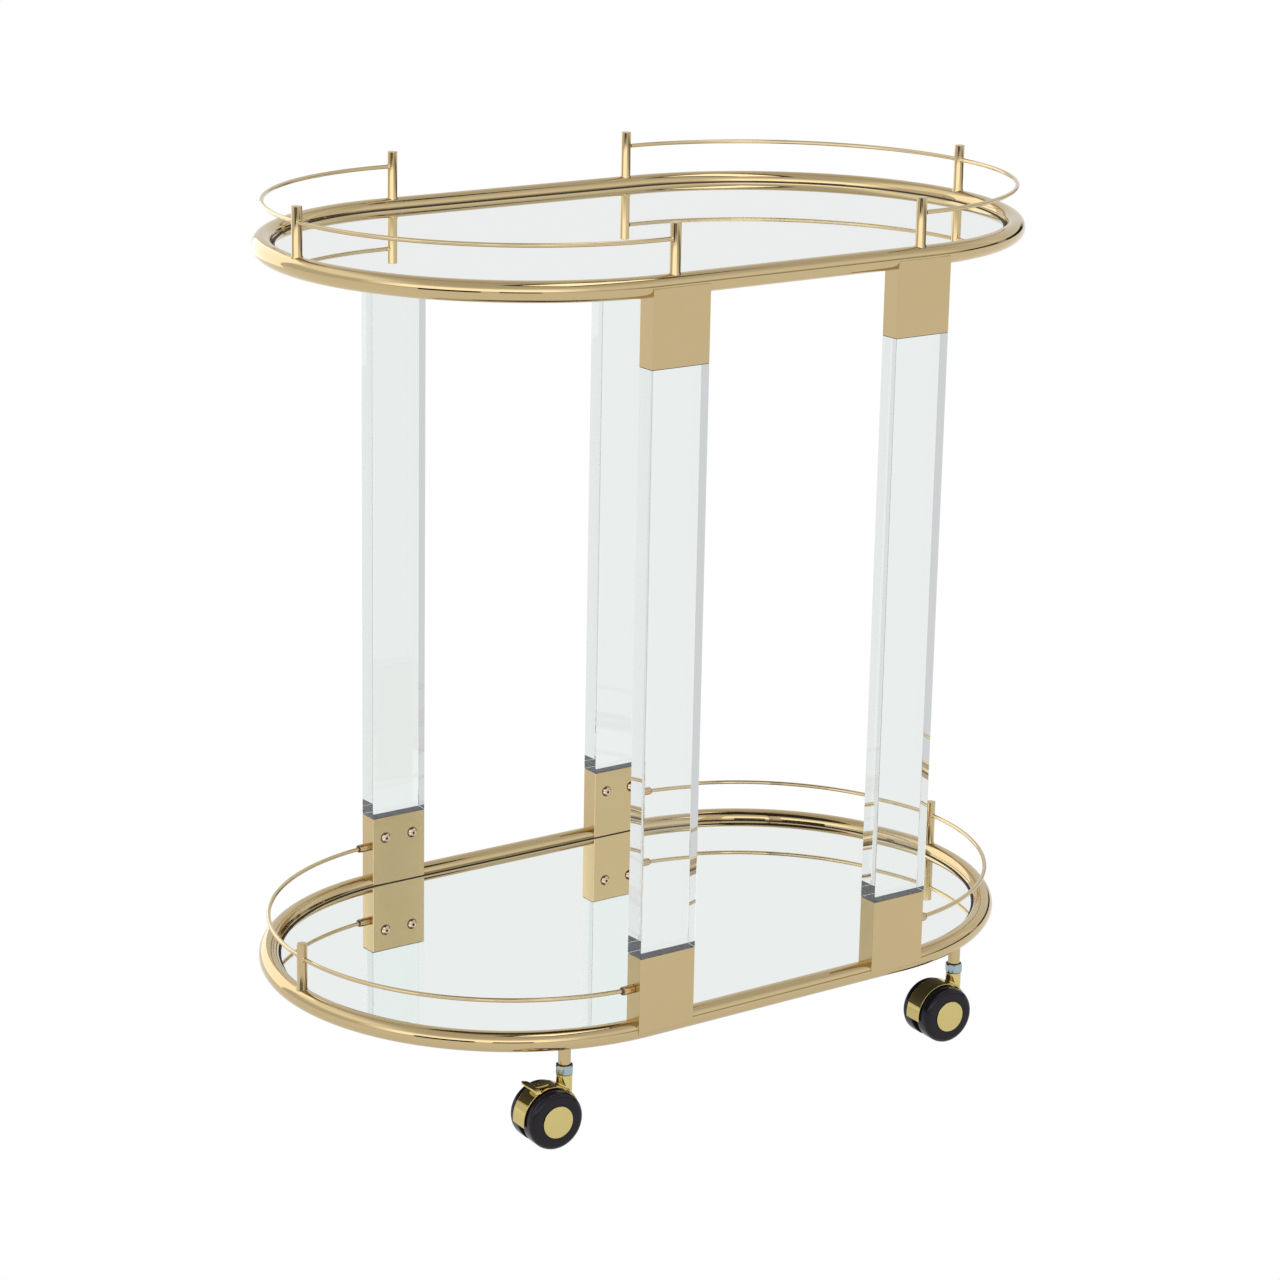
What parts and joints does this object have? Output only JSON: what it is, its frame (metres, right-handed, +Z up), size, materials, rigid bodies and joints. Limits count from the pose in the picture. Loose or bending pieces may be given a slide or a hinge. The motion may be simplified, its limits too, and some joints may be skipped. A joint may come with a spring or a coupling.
{
  "type": "bar cart",
  "caption": "Oval bar cart with mirror trays in gold tube rims, clear acrylic legs in metal sleeves, gallery rails round the ends and hooded twin-wheel casters.",
  "frame": {"origin": "on the floor under the middle of the cart", "axes": "+Z up, +X along the cart's length to its right end, +Y across it to the back"},
  "size_m": [0.7614, 0.471, 0.82],
  "materials": {
    "gold_tube": "polished pale gold plating on steel tube",
    "gold_sleeve": "polished pale gold plating on flat steel",
    "gold_screw": "polished pale gold plating",
    "gold_post": "polished pale gold plating",
    "gold_rail": "polished pale gold plating on thin rod",
    "mirror": "clear silvered float glass",
    "backing_board": "black painted board",
    "acrylic": "clear polished acrylic",
    "zinc_collar": "bluish zinc plating",
    "brass_hood": "polished yellow brass plating",
    "steel_axle": "plain ground steel",
    "black_wheel": "glossy black moulded nylon with a flat brass-coloured hub cap"
  },
  "bodies": {
    "frame": {"bottom_rim": "gold_tube", "bottom_mirror": "mirror", "bottom_backing_board": "backing_board", "top_rim": "gold_tube", "top_mirror": "mirror", "top_backing_board": "backing_board", "leg_front_left": "acrylic", "bottom_sleeve_front_left": "gold_sleeve", "top_sleeve_front_left": "gold_sleeve", "sleeve_screw_front_left_1": "gold_screw", "sleeve_screw_front_left_2": "gold_screw", "caster_stem_front_left": "zinc_collar", "leg_front_right": "acrylic", "bottom_sleeve_front_right": "gold_sleeve", "top_sleeve_front_right": "gold_sleeve", "sleeve_screw_front_right_1": "gold_screw", "sleeve_screw_front_right_2": "gold_screw", "caster_stem_front_right": "zinc_collar", "leg_back_left": "acrylic", "bottom_sleeve_back_left": "gold_sleeve", "top_sleeve_back_left": "gold_sleeve", "sleeve_screw_back_left_1": "gold_screw", "sleeve_screw_back_left_2": "gold_screw", "caster_stem_back_left": "zinc_collar", "leg_back_right": "acrylic", "bottom_sleeve_back_right": "gold_sleeve", "top_sleeve_back_right": "gold_sleeve", "sleeve_screw_back_right_1": "gold_screw", "sleeve_screw_back_right_2": "gold_screw", "caster_stem_back_right": "zinc_collar", "bottom_post_left": "gold_post", "top_post_left": "gold_post", "top_post_front_left": "gold_post", "top_post_back_left": "gold_post", "top_rail_left": "gold_rail", "bottom_rail_left": "gold_rail", "bottom_post_right": "gold_post", "top_post_right": "gold_post", "top_post_front_right": "gold_post", "top_post_back_right": "gold_post", "top_rail_right": "gold_rail", "bottom_rail_right": "gold_rail"},
    "caster_front_left": {"caster_hood_front_left": "brass_hood", "caster_axle_front_left": "steel_axle"},
    "near_wheel_front_left": {"wheel_near_front_left": "black_wheel"},
    "far_wheel_front_left": {"wheel_far_front_left": "black_wheel"},
    "brake_front_left": {"brake_lever_front_left": "brass_hood"},
    "caster_front_right": {"caster_hood_front_right": "brass_hood", "caster_axle_front_right": "steel_axle"},
    "near_wheel_front_right": {"wheel_near_front_right": "black_wheel"},
    "far_wheel_front_right": {"wheel_far_front_right": "black_wheel"},
    "caster_back_left": {"caster_hood_back_left": "brass_hood", "caster_axle_back_left": "steel_axle"},
    "near_wheel_back_left": {"wheel_near_back_left": "black_wheel"},
    "far_wheel_back_left": {"wheel_far_back_left": "black_wheel"},
    "caster_back_right": {"caster_hood_back_right": "brass_hood", "caster_axle_back_right": "steel_axle"},
    "near_wheel_back_right": {"wheel_near_back_right": "black_wheel"},
    "far_wheel_back_right": {"wheel_far_back_right": "black_wheel"},
    "brake_back_right": {"brake_lever_back_right": "brass_hood"}
  },
  "joints": [
    {"name": "swivel_front_left", "type": "hinge", "parent": "frame", "child": "caster_front_left", "pos_m": [-0.22681, -0.21052, 0.06], "axis": [0, 0, 1], "continuous": true},
    {"name": "near_wheel_spin_front_left", "type": "hinge", "parent": "caster_front_left", "child": "near_wheel_front_left", "pos_m": [-0.24478, -0.20942, 0.027], "axis": [0.061, 0.9981, 0], "continuous": true},
    {"name": "far_wheel_spin_front_left", "type": "hinge", "parent": "caster_front_left", "child": "far_wheel_front_left", "pos_m": [-0.24478, -0.20942, 0.027], "axis": [0.061, 0.9981, 0], "continuous": true},
    {"name": "brake_press_front_left", "type": "hinge", "parent": "caster_front_left", "child": "brake_front_left", "pos_m": [-0.25077, -0.20906, 0.0475], "axis": [-0.061, -0.9981, 0], "range_deg": [0, 12]},
    {"name": "swivel_front_right", "type": "hinge", "parent": "frame", "child": "caster_front_right", "pos_m": [0.22681, -0.21052, 0.06], "axis": [0, 0, 1], "continuous": true},
    {"name": "near_wheel_spin_front_right", "type": "hinge", "parent": "caster_front_right", "child": "near_wheel_front_right", "pos_m": [0.20885, -0.20942, 0.027], "axis": [0.061, 0.9981, 0], "continuous": true},
    {"name": "far_wheel_spin_front_right", "type": "hinge", "parent": "caster_front_right", "child": "far_wheel_front_right", "pos_m": [0.20885, -0.20942, 0.027], "axis": [0.061, 0.9981, 0], "continuous": true},
    {"name": "swivel_back_left", "type": "hinge", "parent": "frame", "child": "caster_back_left", "pos_m": [-0.22681, 0.21052, 0.06], "axis": [0, 0, 1], "continuous": true},
    {"name": "near_wheel_spin_back_left", "type": "hinge", "parent": "caster_back_left", "child": "near_wheel_back_left", "pos_m": [-0.24478, 0.21162, 0.027], "axis": [0.061, 0.9981, 0], "continuous": true},
    {"name": "far_wheel_spin_back_left", "type": "hinge", "parent": "caster_back_left", "child": "far_wheel_back_left", "pos_m": [-0.24478, 0.21162, 0.027], "axis": [0.061, 0.9981, 0], "continuous": true},
    {"name": "swivel_back_right", "type": "hinge", "parent": "frame", "child": "caster_back_right", "pos_m": [0.22681, 0.21052, 0.06], "axis": [0, 0, 1], "continuous": true},
    {"name": "near_wheel_spin_back_right", "type": "hinge", "parent": "caster_back_right", "child": "near_wheel_back_right", "pos_m": [0.20885, 0.21162, 0.027], "axis": [0.061, 0.9981, 0], "continuous": true},
    {"name": "far_wheel_spin_back_right", "type": "hinge", "parent": "caster_back_right", "child": "far_wheel_back_right", "pos_m": [0.20885, 0.21162, 0.027], "axis": [0.061, 0.9981, 0], "continuous": true},
    {"name": "brake_press_back_right", "type": "hinge", "parent": "caster_back_right", "child": "brake_back_right", "pos_m": [0.20286, 0.21199, 0.0475], "axis": [-0.061, -0.9981, 0], "range_deg": [0, 12]}
  ]
}
